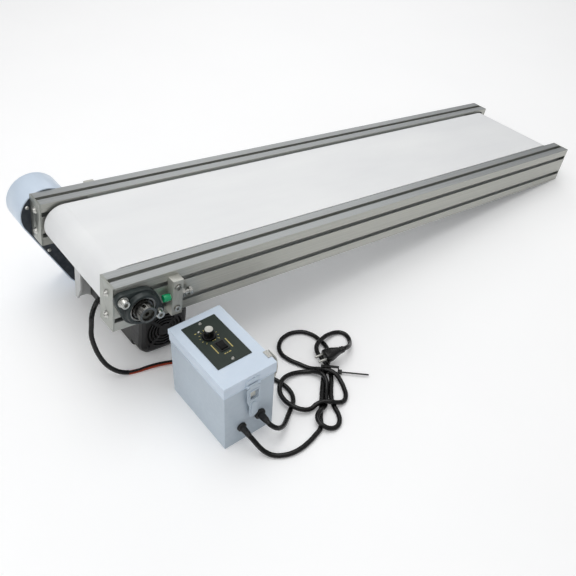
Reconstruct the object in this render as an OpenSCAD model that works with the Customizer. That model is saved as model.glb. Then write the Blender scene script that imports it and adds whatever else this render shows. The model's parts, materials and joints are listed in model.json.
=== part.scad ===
// Belt conveyor section with a chain-driven roller and a small control box.
// It lies as it does on a flat floor: on its chain guard, its motor and its tail end.

/* [Conveyor] */
// Overall length over the end plates
length = 1200; // [900:50:1800]
// Overall width over the two side rails
width = 292; // [272:4:332]
// Width of the belt
belt_w = 200; // [180:4:240]
// Thickness of the belt
belt_t = 2; // [1.6:0.2:2.4]
// Outer radius of the belt where it wraps the rollers
wrap_r = 36; // [35.5:0.1:36.5]
// Pitch of the section, tail end down, in degrees
pitch = 7.2; // [6.8:0.1:7.6]

/* [Rail profile] */
// Width of a rail
rail_w = 40; // [40:1:42]
// Height of a rail
rail_h = 80; // [80:1:82]
// Mouth of a T-slot
slot_mouth = 8.2; // [8:0.1:8.4]
// Thickness of an end plate
plate_t = 3; // [2:0.5:4]

/* [Drive] */
// Distance of a roller axis from its end of the section
axis_x = 40; // [38:1:42]
// Number of teeth on both sprockets
teeth = 20; // [19:1:21]
// Width across the motor's square frame
motor_w = 90; // [88:1:92]
// Depth of the chain guard
guard_depth = 60; // [58:1:64]
// Outer radius of the chain guard's round ends
guard_r = 47.5; // [46.5:0.5:48.5]

/* [Control box] */
// Width of the box
box_w = 94; // [90:1:100]
// Depth of the box, front to back
box_d = 150; // [145:1:160]
// Height of the box with its lid
box_h = 140; // [136:1:145]
// Height of the lid's skirt
skirt_h = 21; // [19:1:23]

/* [Cords] */
// Diameter of the power cord
power_d = 8; // [7.5:0.5:8]
// Diameter of the motor cable
motor_cable_d = 8; // [7.5:0.5:8]

/* [Hidden] */
$fn = 48;

// Places along the section
half_w = width/2;
inner_y = half_w - rail_w;
axis_z = rail_h/2;
tail_x = length - axis_x;
slot_zs = [20, 60];
tilt_s = sin(pitch);
tilt_c = cos(pitch);
lift = length*tilt_s;
fit_gap = 0.05;

// Belt, rollers and what is between the belt's two runs
roller_r = wrap_r - belt_t - 0.3;
roller_l = belt_w + 2;
shaft_r = 10;
bed_top = axis_z + wrap_r - belt_t;
// The belt tracks a little towards the far rail
belt_shift = 1;
cross_xs = [240, length/2, length - 150];
bed_xs = [for (k = [0:4]) 120 + k*(length - 240)/4];

// Bearing units: their balls, and where their bolts are from the shaft
race_r = 17.5;
ball_r = 3;
bolt_at = [29.3, 20];

// Chain guard: the upper centre is a little ahead of the roller, the lower one rests on the floor
guard_t = 2;
guard_posts = [[-5, 54], [28, -41], [104, -131]];
post_r = 4;
guard_top = [29, 36];
guard_low = [104, floor_touch(104, guard_r)];
plate_gap = 3;
sprocket_y = half_w + 40;
sprocket_t = 4.4;
chain_pitch = 9.525;
pitch_r = chain_pitch/(2*sin(180/teeth));
near_tip = half_w + 29;
cap_x = 77;
cap_l = 12;
far_tip = sprocket_y + 11;

// Motor: its lower outer corner rests on the floor
motor_corner = 12;
motor_x = 124.4;
motor_z = floor_touch(motor_x + motor_w/2 - motor_corner, motor_corner) + motor_w/2 - motor_corner;
shaft_offset = 18;
out_x = motor_x - shaft_offset;
bracket_y = 94;
bracket_t = 4;
bracket_xs = [100, 158];
gearhead_l = 66;
gearhead_back = bracket_y - gearhead_l;
gear_bolt = 36.8;
// The idler's place from the motor's axis
idler_at = [-4.04, 19.9];
motor_back = -92;
cover_l = 32;
fan_corner = 21;
shield_y = motor_back + cover_l;
// Where the cable leaves the side of the motor, as y and z
motor_exit = [-45, -58];

// The chain's two centres, and the directions along and across its runs
chain_a = [axis_x, axis_z];
chain_b = [out_x, motor_z];
chain_c = norm(chain_b - chain_a);
chain_u = (chain_b - chain_a)/chain_c;
chain_v = [-chain_u[1], chain_u[0]];
chain_n = 2*round((2*chain_c/chain_pitch + teeth)/2);

// Control box place and its own parts
box_x = 74;
box_y = -327;
wall = 1.5;
play = 0.4;
body_in = wall + play;
lid_z = box_h - skirt_h;
hinge_w = 60;
hinge_y = box_d + 3;
hinge_z = box_h - 10;
panel_c = [45, 86];
panel_size = [60, 100];
panel_t = 1.5;
collar_r = 4.2;
knob_at = [41, 99];
lamp_at = [33, 115];
rocker_at = [46, 72];
switch_size = [15, 21];
hasp_x = 50;
hasp_y = -2.6;
hasp_z = 121.5;
side_y = 20;
side_pin = [98.5, 98];
gland_power = [32, 34];
gland_motor = [66, 41];
gland_l = 16;

// Row frame: the floor is z = 0, and the origin is under the middle of the whole object
x_low = guard_top[0]*tilt_c + guard_top[1]*tilt_s - guard_r;
end_screw = 6.8;
end_screw_head = 13;
x_high = (length + 0.55*end_screw)*tilt_c + (slot_zs[1] + 0.275*end_screw_head)*tilt_s;
y_low = box_y + body_in - gland_l;
y_high = half_w + guard_depth + 2.2;
mid_x = (x_low + x_high)/2;
mid_y = (y_low + y_high)/2;

// Routes of the cords, from the box's front left corner on the floor
motor_route = [[66, -14.1, 41], [66, -19, 41], [67, -25, 39], [72, -30, 34], [80, -31, 27],
    [91, -27, 19], [104, -18, 11], [117, -8, 6], [130, 1, 4], [142, 10, 4], [150, 22, 4], [153, 37, 4],
    [151, 53, 4], [146, 69, 4], [138, 89, 4], [128, 110, 4], [117, 131, 4], [101, 152, 4],
    [81, 170, 4], [59, 185, 4], [37, 196, 4], [14, 206, 4], [-8, 213, 4], [-27, 217, 4], [-42, 221, 5],
    [-55, 225, 11], [-66, 227, 23], [-75, 229, 38], [-81, 233, 55], [-85, 237, 76], [-86, 241, 100],
    [-82, 244, 118], [-79, 245, 133], [-73, 249, 142], [-65, 255, 147], [-57, 261, 148],
    [-49, 268, 145], [-43, 273, 139], [-40, 277, 129], [-40, 278, 119], [-39, 280, 108],
    [-35, 281, 97], [-28, 282, 89], [-20, 282, 85], [-11, 282, 84], [-5, 282, 83]];
power_route = [[32, -14.1, 34], [32, -20, 33], [34, -26, 29], [37, -32, 22], [41, -38, 14],
    [46, -45, 8], [54, -54, 4.5], [66, -62, 4], [81, -67, 4], [97, -68, 4], [113, -66, 4],
    [129, -62, 4], [145, -56, 4]];
hank_a = [246, 38];
hank_b = [160, -54];
hank_r = 14;
hank_h = 16;
tie_at = 17;
tie_t = 1.4;
plug_at = [250, 41];

// Height in the section's own frame of a circle's centre that just touches the floor
function floor_touch(x, r) = (r - length*tilt_s + x*tilt_s)/tilt_c;
// Distance from the middle at which the near (-1) or far (1) bearing unit is bolted on
function base_y(side) = side < 0 ? half_w : half_w + plate_gap;
// The same for the tensioners: each block's thickness, its place along the rail and its bolt
function block_t(side) = side < 0 ? 16 : 19;
function block_x(side) = side < 0 ? 90 : 104;
function tension_y(side) = half_w + block_t(side) - 6.5;

// ---------- placing ----------
module on_conveyor() {
    translate([-mid_x, -mid_y, lift]) rotate([0, pitch, 0]) children();
}
module on_floor() {
    translate([box_x - mid_x, box_y - mid_y, 0]) children();
}
// Extrudes an x-z outline from y0 to y0 + t
module slab_y(y0, t) {
    translate([0, y0 + t, 0]) rotate([90, 0, 0]) linear_extrude(t) children();
}
// Points +z along +y (side 1) or -y (side -1), starting at that side's distance y
module facing(side, x, y, z) {
    translate([x, side*y, z]) rotate([-90*side, 0, 0]) children();
}
module both_sides() {
    for (side = [-1, 1]) {
        $side = side;
        children();
    }
}

// ---------- fasteners ----------
module cap_screw(d, l) {
    difference() {
        union() {
            cylinder(d = 1.6*d, h = d);
            translate([0, 0, -l]) cylinder(d = d, h = l + 1);
        }
        translate([0, 0, d*0.45]) cylinder(d = 0.9*d, h = d, $fn = 6);
    }
}
module button_screw(d, l, head) {
    difference() {
        union() {
            cylinder(d1 = head, d2 = head*0.55, h = d*0.55);
            translate([0, 0, -l]) cylinder(d = d, h = l + 0.5);
        }
        translate([0, 0, d*0.2]) cylinder(d = 0.6*d, h = d, $fn = 6);
    }
}
module washer(d, outer, t) {
    difference() {
        cylinder(d = outer, h = t);
        translate([0, 0, -1]) cylinder(d = d, h = t + 2);
    }
}
module ring(r_out, r_in, h) {
    difference() {
        cylinder(r = r_out, h = h);
        translate([0, 0, -1]) cylinder(r = r_in, h = h + 2);
    }
}
// Two circles of radius r around a and b, joined by their outer tangents
module obround(a, b, r) {
    along = b - a;
    across = [-along[1], along[0]]*r/norm(along);
    translate(a) circle(r);
    translate(b) circle(r);
    polygon([a + across, b + across, b - across, a - across]);
}
module rounded_square(w, r) {
    c = w/2 - r;
    for (x = [-c, c], y = [-c, c]) translate([x, y]) circle(r);
    square([w, 2*c], center = true);
    square([2*c, w], center = true);
}
// A round boss of radius a with two lobes of radius b at distance d, as an outline
module two_bolt_outline(a, b, d) {
    t = acos((a - b)/d);
    circle(a);
    for (s = [0, 180]) rotate(s) {
        translate([d, 0]) circle(b);
        polygon([[0, 0], [a*cos(t), a*sin(t)], [d + b*cos(t), b*sin(t)],
            [d + b*cos(t), -b*sin(t)], [a*cos(t), -a*sin(t)]]);
    }
}

// ---------- side rails ----------
module slot_cut() {
    m = slot_mouth/2;
    polygon([[-1, -m], [4.5, -m], [4.5, -10], [7, -10], [12.3, -4.8],
        [12.3, 4.8], [7, 10], [4.5, 10], [4.5, m], [-1, m]]);
}
module rail_profile() {
    difference() {
        translate([-rail_w/2, 0]) square([rail_w, rail_h]);
        for (z = slot_zs) {
            translate([-rail_w/2, z]) slot_cut();
            translate([rail_w/2, z]) mirror([1, 0]) slot_cut();
            translate([0, z]) circle(d = end_screw);
        }
        rotate(90) slot_cut();
        translate([0, rail_h]) rotate(-90) slot_cut();
        translate([-12, rail_h/2 - 5]) square([24, 10]);
    }
}
module rail(side) {
    difference() {
        translate([plate_t, side*(half_w - rail_w/2), 0]) rotate([90, 0, 90])
            linear_extrude(length - 2*plate_t) rail_profile();
        translate([axis_x, side*half_w, axis_z]) rotate([90, 0, 0])
            cylinder(r = 15, h = 3*rail_w, center = true);
        facing(side, tail_x, inner_y - 1, axis_z) cylinder(r = 14, h = 15);
    }
}
module rail_near() { color([0.72, 0.74, 0.75]) on_conveyor() rail(-1); }
module rail_far() { color([0.72, 0.74, 0.75]) on_conveyor() rail(1); }

module end_plate_pair(x) {
    both_sides() difference() {
        translate([x, $side*(half_w - rail_w/2) - rail_w/2, 0]) cube([plate_t, rail_w, rail_h]);
        for (z = slot_zs) translate([x - 1, $side*(half_w - rail_w/2), z]) rotate([0, 90, 0])
            cylinder(d = end_screw, h = plate_t + 2);
    }
}
module end_plates() {
    color([0.82, 0.83, 0.83]) on_conveyor() {
        end_plate_pair(0);
        end_plate_pair(length - plate_t);
    }
}
module end_plate_screws() {
    color([0.75, 0.75, 0.74]) on_conveyor() both_sides() for (z = slot_zs) {
        translate([0, $side*(half_w - rail_w/2), z]) rotate([0, -90, 0])
            button_screw(end_screw, 20, end_screw_head);
        translate([length, $side*(half_w - rail_w/2), z]) rotate([0, 90, 0])
            button_screw(end_screw, 20, end_screw_head);
    }
}

// ---------- inside the belt loop ----------
module cross_members() {
    color([0.62, 0.63, 0.64]) on_conveyor() for (x = cross_xs) {
        difference() {
            translate([x - 20, 4 - inner_y, 28]) cube([40, 2*inner_y - 8, 18]);
            translate([x - 18, -inner_y, 30]) cube([36, 2*inner_y, 14]);
        }
        both_sides() difference() {
            translate([x - 24, min($side*inner_y, $side*(inner_y - 4)), 10]) cube([48, 4, 36]);
            for (dx = [-15, 15]) facing($side, x + dx, inner_y - 5, slot_zs[0]) cylinder(d = 6.4, h = 6);
        }
    }
}
module slider_bed() {
    color([0.66, 0.67, 0.68]) on_conveyor() difference() {
        translate([axis_x + 46, -inner_y, bed_top - 26]) cube([length - 2*axis_x - 92, 2*inner_y, 26]);
        translate([0, 2 - inner_y, bed_top - 27]) cube([length, 2*inner_y - 4, 25]);
        for (x = bed_xs) translate([x, 0, slot_zs[1]]) rotate([90, 0, 0])
            cylinder(d = 6.4, h = width, center = true);
    }
}
module frame_screws() {
    color([0.35, 0.35, 0.36]) on_conveyor() both_sides() {
        for (x = cross_xs, dx = [-15, 15])
            facing(-$side, x + dx, -(inner_y - 4), slot_zs[0]) button_screw(6, 14, 10.5);
        for (x = bed_xs) facing(-$side, x, -(inner_y - 2), slot_zs[1]) button_screw(6, 12, 10.5);
        for (x = bracket_xs) facing(-$side, x, -(inner_y - 4), slot_zs[0]) button_screw(6, 14, 10.5);
        for (z = [-1, 1]) translate([motor_x + $side*gear_bolt, bracket_y + bracket_t, motor_z + z*gear_bolt])
            rotate([-90, 0, 0]) cap_screw(6, 80);
    }
}
// A nut that fills the widest part of a slot, its face against the slot's lips
module slot_nut(bore) {
    difference() {
        translate([-7, -7, 0]) cube([14, 14, 4.5]);
        translate([0, 0, -1]) cylinder(d = bore, h = 7);
    }
}
module slot_nuts() {
    color([0.6, 0.6, 0.6]) on_conveyor() both_sides() {
        for (x = cross_xs, dx = [-15, 15]) facing($side, x + dx, inner_y + 4.5, slot_zs[0]) slot_nut(6);
        for (x = bed_xs) facing($side, x, inner_y + 4.5, slot_zs[1]) slot_nut(6);
        for (x = bracket_xs) facing($side, x, inner_y + 4.5, slot_zs[0]) slot_nut(6);
        for (s = [-1, 1])
            facing(-$side, axis_x + s*bolt_at[0], 4.5 - half_w, axis_z - s*bolt_at[1]) slot_nut(8);
        for (z = slot_zs) facing(-$side, block_x($side) + 9, 4.5 - half_w, z) slot_nut(6);
    }
}

// ---------- belt ----------
module loop_outline(r) {
    translate([axis_x, axis_z]) circle(r);
    translate([tail_x, axis_z]) circle(r);
    translate([axis_x, axis_z - r]) square([tail_x - axis_x, 2*r]);
}
module belt() {
    color([0.93, 0.94, 0.94]) on_conveyor() slab_y(belt_shift - belt_w/2, belt_w) difference() {
        loop_outline(wrap_r, $fn = 96);
        loop_outline(wrap_r - belt_t, $fn = 96);
    }
}

// ---------- drive roller, its shaft and bearings ----------
module roller_tube(bore_r) {
    difference() {
        rotate([90, 0, 0]) cylinder(r = roller_r, h = roller_l, center = true, $fn = 96);
        rotate([90, 0, 0]) cylinder(r = bore_r, h = roller_l + 2, center = true);
        rotate([90, 0, 0]) cylinder(r = roller_r - 4, h = roller_l - 32, center = true, $fn = 96);
    }
}
module drive_roller() {
    color([0.6, 0.61, 0.62]) on_conveyor() translate([axis_x, 0, axis_z]) roller_tube(shaft_r);
}
module drive_shaft() {
    color([0.55, 0.54, 0.5]) on_conveyor() translate([axis_x, 0, axis_z]) rotate([-90, 0, 0]) difference() {
        translate([0, 0, -near_tip]) cylinder(r = shaft_r, h = near_tip + far_tip);
        translate([0, 0, -near_tip - 1]) cylinder(d1 = 8, d2 = 3, h = 6);
        translate([0, 0, far_tip - 5]) cylinder(d1 = 3, d2 = 8, h = 6);
    }
}
// Bearing pieces are drawn with +z outward from the face that they are bolted to
// and with their own y upward on either side
module at_bearing(side) {
    facing(side, axis_x, base_y(side), axis_z) mirror([0, side > 0 ? 1 : 0, 0]) children();
}
module housing() {
    turn = -atan2(bolt_at[1], bolt_at[0]);
    difference() {
        union() {
            rotate(turn) linear_extrude(10) two_bolt_outline(31, 11.5, norm(bolt_at));
            cylinder(r1 = 29, r2 = 25.5, h = 18);
        }
        translate([0, 0, -1]) cylinder(r = 18, h = 30);
        translate([0, 0, 3]) cylinder(r = 21, h = 30);
        for (s = [-1, 1]) translate([s*bolt_at[0], -s*bolt_at[1], -1]) cylinder(d = 8.6, h = 20);
    }
}
module bearing_housings() {
    color([0.2, 0.27, 0.26]) on_conveyor() both_sides() at_bearing($side) housing();
}
module race_cut(r) {
    rotate_extrude($fn = 64) translate([race_r, 0]) circle(r, $fn = 24);
}
module outer_ring() {
    difference() {
        ring(21, 18.9, 13);
        translate([0, 0, 6.5]) race_cut(ball_r);
    }
}
module inner_ring(bore_r, collar) {
    difference() {
        union() {
            cylinder(r = 16.1, h = 12.6);
            cylinder(r = 14, h = 12.6 + collar);
        }
        translate([0, 0, -1]) cylinder(r = bore_r, h = 50);
        translate([0, 0, 6.1]) race_cut(ball_r + 0.3);
        if (collar > 0) translate([0, 0, 12.6 + collar/2]) rotate([-90, 0, 15]) cylinder(d = 5, h = 20);
    }
}
module balls() {
    for (a = [0:40:320]) rotate(a) translate([race_r, 0, 0]) sphere(ball_r - 0.03, $fn = 24);
}
module bearing_rings_and_balls() {
    color([0.55, 0.57, 0.57]) on_conveyor() both_sides() at_bearing($side) {
        translate([0, 0, 3]) outer_ring();
        translate([0, 0, 9.5]) balls();
    }
}
module bearing_inner_rings() {
    color([0.75, 0.74, 0.7]) on_conveyor() both_sides() at_bearing($side)
        translate([0, 0, 3.4]) inner_ring(shaft_r, 16);
}
module bearing_bolts() {
    color([0.78, 0.78, 0.76]) on_conveyor() both_sides() at_bearing($side) for (s = [-1, 1])
        translate([s*bolt_at[0], -s*bolt_at[1], 0]) {
            translate([0, 0, 10]) washer(8, 17, 1.6);
            translate([0, 0, 11.6]) cap_screw(8, 11.6 + 9 + base_y($side) - half_w);
        }
}

// ---------- belt tensioners ----------
module tension_blocks() {
    color([0.74, 0.75, 0.75]) on_conveyor() both_sides() difference() {
        facing($side, block_x($side), half_w, 0)
            translate([0, $side < 0 ? 8 : -72, 0]) cube([18, 64, block_t($side)]);
        for (z = slot_zs) facing($side, block_x($side) + 9, half_w - 1, z) {
            cylinder(d = 6.4, h = 30);
            translate([0, 0, block_t($side) - 2]) cylinder(d = 11, h = 10);
        }
        translate([block_x($side) - 1, $side*tension_y($side), axis_z + 1]) rotate([0, 90, 0])
            cylinder(d = 8, h = 20);
    }
}
module tension_bolts() {
    bolt_x = cap_x + cap_l - 7;
    color([0.68, 0.69, 0.68]) on_conveyor() both_sides() {
        x = block_x($side);
        translate([0, $side*tension_y($side), axis_z + 1]) rotate([0, 90, 0]) {
            translate([0, 0, bolt_x]) cylinder(d = 8, h = x + 32 - bolt_x);
            translate([0, 0, x + 18]) cylinder(d = 14.5, h = 6, $fn = 6);
            translate([0, 0, x + 32]) cylinder(d = 14.5, h = 5, $fn = 6);
        }
        for (z = slot_zs) facing($side, x + 9, half_w + block_t($side) - 3, z)
            cap_screw(6, block_t($side) + 4);
    }
}
module tension_caps() {
    color([0.1, 0.65, 0.42]) on_conveyor() both_sides()
        translate([cap_x, $side*tension_y($side), axis_z + 1]) rotate([0, 90, 0]) difference() {
            cylinder(d = 11.6, h = cap_l);
            translate([0, 0, cap_l - 7]) cylinder(d = 8, h = 10);
        }
}

// ---------- tail roller on its fixed axle ----------
module at_tail_end(side) {
    facing(side, tail_x, roller_l/2, axis_z) children();
}
module tail_roller() {
    color([0.6, 0.61, 0.62]) on_conveyor() translate([tail_x, 0, axis_z]) difference() {
        roller_tube(18.5);
        both_sides() facing($side, 0, roller_l/2 - 13.5, 0) cylinder(r = 21, h = 20);
    }
}
module tail_axle() {
    color([0.55, 0.55, 0.53]) on_conveyor() translate([tail_x, 0, axis_z]) rotate([90, 0, 0])
        cylinder(r = shaft_r, h = 2*(inner_y + 12), center = true);
}
module tail_axle_holders() {
    color([0.3, 0.31, 0.33]) on_conveyor() both_sides() facing($side, tail_x, inner_y, axis_z) difference() {
        union() {
            translate([-20, -34, -4]) cube([40, 68, 4]);
            cylinder(r = 14, h = 13);
        }
        translate([0, 0, -5]) cylinder(r = shaft_r, h = 30);
    }
}
module tail_rings_and_balls() {
    color([0.75, 0.75, 0.73]) on_conveyor() both_sides() at_tail_end($side) {
        translate([0, 0, -13.5]) outer_ring();
        translate([0, 0, -7]) balls();
    }
}
module tail_inner_rings() {
    color([0.72, 0.72, 0.7]) on_conveyor() both_sides() at_tail_end($side)
        translate([0, 0, -13.1]) inner_ring(shaft_r, 0);
}

// ---------- motor bracket: one folded plate between the rails ----------
module motor_bracket() {
    x0 = 52;
    x1 = 172;
    color([0.82, 0.83, 0.82]) on_conveyor() difference() {
        union() {
            translate([x0, -inner_y, -5]) cube([x1 - x0, 2*inner_y, bracket_t]);
            both_sides() translate([84, min($side*inner_y, $side*(inner_y - 4)), -5]) cube([x1 - 84, 4, 37]);
            slab_y(bracket_y, bracket_t) polygon([[x0, -3], [x0, -120], [72, -120],
                [84, -128], [x1, -128], [x1, -3]]);
            // flange that stiffens the plate, tapered to its foot
            translate([x0, 0, 0]) rotate([90, 0, 90]) linear_extrude(bracket_t)
                polygon([[bracket_y + 1, -3], [bracket_y + 1, -120], [bracket_y - 4, -120],
                    [bracket_y - 18, -90], [bracket_y - 18, -3]]);
        }
        translate([out_x, 0, motor_z]) rotate([-90, 0, 0]) cylinder(r = 20, h = 120);
        for (x = [-1, 1], z = [-1, 1]) translate([motor_x + x*gear_bolt, 0, motor_z + z*gear_bolt])
            rotate([-90, 0, 0]) cylinder(d = 6.4, h = 120);
        for (x = bracket_xs) translate([x, 0, slot_zs[0]]) rotate([90, 0, 0])
            cylinder(d = 6.4, h = width, center = true);
    }
}

// ---------- gearhead ----------
module frame_slab(y0, t) {
    translate([motor_x, 0, motor_z]) slab_y(y0, t) children();
}
module bolt_holes(d) {
    for (x = [-1, 1], z = [-1, 1]) translate([x*gear_bolt, z*gear_bolt]) circle(d = d);
}
module gearhead_case() {
    color([0.16, 0.16, 0.16]) on_conveyor() {
        frame_slab(gearhead_back, gearhead_l - 6) difference() {
            rounded_square(motor_w, motor_corner);
            circle(r = 41);
            bolt_holes(6.4);
        }
        difference() {
            frame_slab(gearhead_back, 6) difference() {
                circle(r = 41);
                circle(r = 10);
            }
            translate([motor_x + idler_at[0], gearhead_back + 3, motor_z + idler_at[1]]) rotate([-90, 0, 0])
                cylinder(r = 4 + fit_gap, h = 9);
            translate([out_x, gearhead_back + 3, motor_z]) rotate([-90, 0, 0])
                cylinder(r = 7.5 + fit_gap, h = 9);
        }
    }
}
module gearhead_cover() {
    color([0.18, 0.18, 0.18]) on_conveyor() difference() {
        union() {
            frame_slab(bracket_y - 6, 6) difference() {
                rounded_square(motor_w, motor_corner);
                bolt_holes(6.4);
            }
            translate([out_x, bracket_y - 1, motor_z]) rotate([-90, 0, 0]) cylinder(r = 17, h = 3);
        }
        translate([out_x, bracket_y - 10, motor_z]) rotate([-90, 0, 0]) cylinder(r = 7.5 + fit_gap, h = 30);
        translate([motor_x + idler_at[0], bracket_y - 7, motor_z + idler_at[1]]) rotate([-90, 0, 0])
            cylinder(r = 4 + fit_gap, h = 4);
    }
}
module output_shaft() {
    color([0.6, 0.6, 0.58]) on_conveyor() translate([out_x, gearhead_back + 3.2, motor_z]) rotate([-90, 0, 0])
        difference() {
            cylinder(r = 7.5, h = sprocket_y + 12 - gearhead_back - 3.2);
            translate([0, 0, sprocket_y + 8 - gearhead_back - 3.2]) cylinder(d1 = 2, d2 = 6, h = 5);
        }
}
// The output wheel on its hub
module output_gear() {
    color([0.5, 0.5, 0.48]) on_conveyor() translate([out_x, gearhead_back + 38, motor_z]) rotate([-90, 0, 0])
        difference() {
            union() {
                gear(18, 30, 14);
                translate([0, 0, -5]) cylinder(r = 11, h = 21);
            }
            translate([0, 0, -7]) cylinder(r = 7.5, h = 40);
        }
}
// A spur gear of pitch radius r and n teeth; the tooth tips stop just short of the pitch circle
module gear(r, n, h) {
    depth = 1.2;
    linear_extrude(h) {
        circle(r - depth, $fn = 4*n);
        for (k = [0:n - 1]) rotate(k*360/n)
            polygon([[r - depth - 1, -0.64*PI*r/n], [r - 0.15, -0.32*PI*r/n],
                [r - 0.15, 0.32*PI*r/n], [r - depth - 1, 0.64*PI*r/n]]);
    }
}
module idler_gear() {
    color([0.55, 0.53, 0.46]) on_conveyor()
        translate([motor_x + idler_at[0], gearhead_back + 3.2, motor_z + idler_at[1]]) rotate([-90, 0, 0]) {
            cylinder(r = 4, h = gearhead_l - 6.4);
            translate([0, 0, 18.8]) gear(16, 32, 10);
            translate([0, 0, 28.8]) gear(6, 10, 26);
        }
}

// ---------- motor ----------
module motor_housing() {
    color([0.14, 0.14, 0.14]) on_conveyor() {
        frame_slab(shield_y, gearhead_back - shield_y) difference() {
            rounded_square(motor_w, motor_corner);
            circle(r = 40);
            bolt_holes(6);
        }
        frame_slab(gearhead_back - 6, 6) difference() {
            circle(r = 40);
            circle(r = 6 + fit_gap);
        }
        translate([motor_x - motor_w/2, motor_exit[0], motor_exit[1]]) rotate([0, -90, 0])
            cylinder(d1 = 14, d2 = 10, h = 8);
    }
}
module motor_end_shield() {
    color([0.3, 0.3, 0.3]) on_conveyor() frame_slab(shield_y - 6, 6) difference() {
        rounded_square(motor_w - 5, fan_corner - 2.5);
        circle(r = 6 + fit_gap);
        for (a = [0:60:300]) rotate(a + 30) translate([27, 0]) circle(r = 6);
    }
}
module stator() {
    color([0.6, 0.38, 0.2]) on_conveyor() {
        frame_slab(-35, 45) difference() {
            circle(r = 40);
            circle(r = 26);
        }
        for (y = [-47, 10]) frame_slab(y, y < 0 ? 12 : 8) difference() {
            circle(r = 38);
            circle(r = 28);
        }
    }
}
module rotor() {
    color([0.6, 0.6, 0.6]) on_conveyor() translate([motor_x, 0, motor_z]) rotate([-90, 0, 0]) {
        translate([0, 0, motor_back + 6]) cylinder(r = 6, h = gearhead_back + 8 - motor_back - 6);
        translate([0, 0, -35]) cylinder(r = 25.5, h = 45);
        translate([0, 0, gearhead_back + 8]) gear(4, 8, 26);
    }
}
module cooling_fan() {
    color([0.2, 0.2, 0.2]) on_conveyor() translate([motor_x, motor_back + 8, motor_z]) rotate([-90, 0, 0])
        difference() {
            union() {
                cylinder(r = 14, h = 14);
                cylinder(r = 36, h = 1.5);
                for (a = [0:40:320]) rotate(a) translate([12, -0.8, 0]) cube([24, 1.6, 13]);
            }
            translate([0, 0, -1]) cylinder(r = 6, h = 20);
        }
}
module fan_dome(y0, w, r) {
    hull() {
        frame_slab(y0 + 9, cover_l - 9) rounded_square(w, r);
        frame_slab(y0 + 2.6, 1) rounded_square(w - 5.2, r - 2.6);
        frame_slab(y0, 1) rounded_square(w - 16, r - 7);
    }
}
module fan_cover() {
    color([0.12, 0.12, 0.12]) on_conveyor() {
        difference() {
            fan_dome(motor_back, motor_w, fan_corner);
            fan_dome(motor_back + 2.2, motor_w - 4.4, fan_corner - 2.2);
            frame_slab(motor_back - 1, 5) for (r = [12:6:30]) difference() {
                circle(r + 3.4);
                circle(r);
                for (a = [45, 135]) rotate(a) square([100, 5], center = true);
            }
        }
        both_sides() for (z = [-1, 1]) translate([motor_x + $side*30, motor_back + 0.2, motor_z + z*30])
            rotate([90, 0, 0]) cylinder(d1 = 8, d2 = 6, h = 2.2);
    }
}

// ---------- chain guard ----------
module guard_outline(r) {
    obround(guard_top, guard_low, r);
}
module guard_back_plate() {
    color([0.17, 0.21, 0.26]) on_conveyor() slab_y(half_w, plate_gap) difference() {
        guard_outline(guard_r - guard_t);
        translate([axis_x, axis_z]) circle(r = 15);
        translate([out_x, motor_z]) circle(r = 11);
        for (p = guard_posts) translate(p) circle(r = 2);
        for (s = [-1, 1]) translate([axis_x + s*bolt_at[0], axis_z - s*bolt_at[1]]) circle(d = 8.6);
    }
}
module guard_cover() {
    notch_x = 66;
    color([0.82, 0.88, 0.94]) on_conveyor() difference() {
        union() {
            slab_y(half_w, guard_depth - guard_t) difference() {
                guard_outline(guard_r);
                guard_outline(guard_r - guard_t);
            }
            slab_y(half_w + guard_depth - guard_t, guard_t) guard_outline(guard_r);
        }
        translate([notch_x, half_w - 1, axis_z - 8]) cube([40, 22, 18]);
        for (p = guard_posts) translate([p[0], 0, p[1]]) rotate([-90, 0, 0]) cylinder(r = 2, h = 300);
    }
}
module guard_screws() {
    post_l = guard_depth - guard_t - plate_gap;
    color([0.45, 0.46, 0.47]) on_conveyor() for (p = guard_posts) {
        translate([p[0], half_w + plate_gap, p[1]]) rotate([-90, 0, 0]) cylinder(r = post_r, h = post_l);
        translate([p[0], half_w, p[1]]) rotate([90, 0, 0]) button_screw(4, 3.01, 7.5);
        translate([p[0], half_w + guard_depth, p[1]]) rotate([-90, 0, 0]) button_screw(4, 2.01, 8);
    }
}
module output_bush() {
    color([0.62, 0.5, 0.28]) on_conveyor()
        translate([out_x, half_w, motor_z]) rotate([-90, 0, 0]) difference() {
            union() {
                translate([0, 0, -4]) cylinder(r = 11, h = 18);
                translate([0, 0, plate_gap]) cylinder(r = 16, h = 4);
            }
            translate([0, 0, -10]) cylinder(r = 7.5 + fit_gap, h = 40);
        }
}

// ---------- chain drive ----------
module sprocket(bore_r) {
    seat = 2.62;
    difference() {
        union() {
            linear_extrude(sprocket_t) difference() {
                circle(pitch_r + 2.4, $fn = 80);
                for (k = [0:teeth - 1]) rotate(k*360/teeth) {
                    translate([pitch_r, 0]) circle(seat, $fn = 24);
                    polygon([[pitch_r, -seat], [pitch_r + 4, -seat - 1.1], [pitch_r + 4, seat + 1.1],
                        [pitch_r, seat]]);
                }
            }
            cylinder(r = 20, h = 11);
        }
        translate([0, 0, -1]) cylinder(r = bore_r, h = 20);
        translate([0, 0, 7.5]) rotate([90, 0, 0]) cylinder(d = 4, h = 30);
    }
}
module roller_sprocket() {
    color([0.35, 0.34, 0.33]) on_conveyor() translate([axis_x, sprocket_y, axis_z]) rotate([-90, 0, 0])
        sprocket(shaft_r);
}
module motor_sprocket() {
    color([0.35, 0.34, 0.33]) on_conveyor() translate([out_x, sprocket_y, motor_z]) rotate([-90, 0, 0])
        sprocket(7.5);
}
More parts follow.
